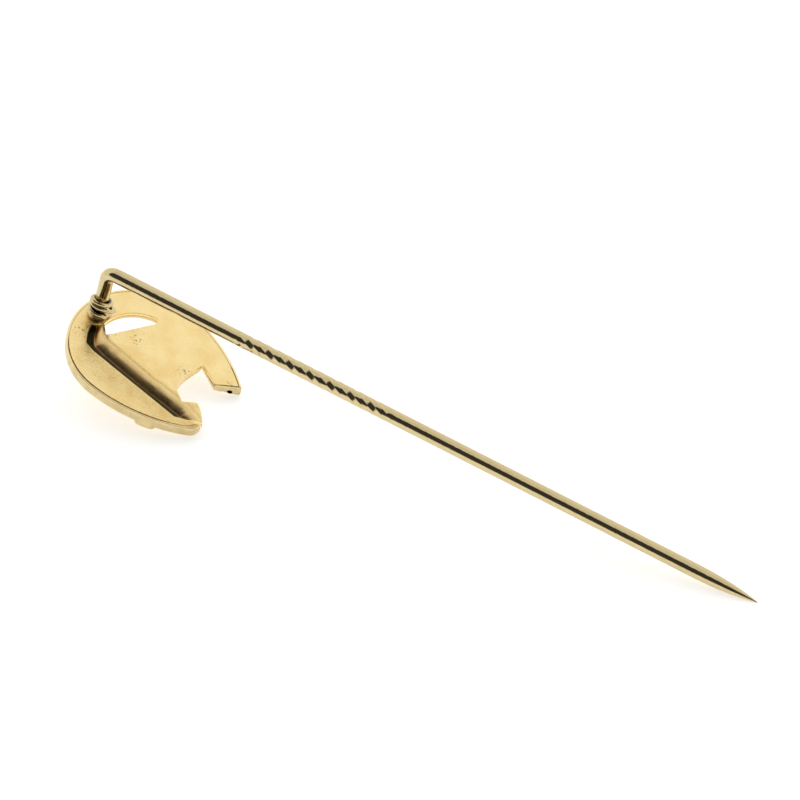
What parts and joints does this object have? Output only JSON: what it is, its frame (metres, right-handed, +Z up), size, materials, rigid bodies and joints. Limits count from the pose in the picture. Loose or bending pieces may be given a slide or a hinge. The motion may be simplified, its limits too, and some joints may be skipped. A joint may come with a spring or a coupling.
{
  "type": "stick pin",
  "caption": "Gold stick pin for a tie: hollow horseshoe head with a horse's head inside, on a bent wire stem with a twisted grip and a sharp point.",
  "frame": {"origin": "middle of the footprint, on the surface that the pin lies on face down", "axes": "+X along the stem towards its point, +Z up from the surface, out of the back of the head"},
  "size_m": [0.0656, 0.0124, 0.0107],
  "materials": {
    "satin_gold": "satin, hand filed, a little pitted",
    "polished_gold": "polished, lightly worn",
    "tarnished_gold": "polished with dark tarnish left in the groove",
    "wire_gold": "polished wire with faint drawing lines",
    "solder": "matt gold solder"
  },
  "bodies": {
    "root": {"back_plate": "satin_gold", "horseshoe_front": "polished_gold", "horse_head": "polished_gold", "groove_web": "tarnished_gold", "pin_wire": "wire_gold", "coil_collar": "wire_gold", "solder_ring": "solder"}
  },
  "joints": []
}
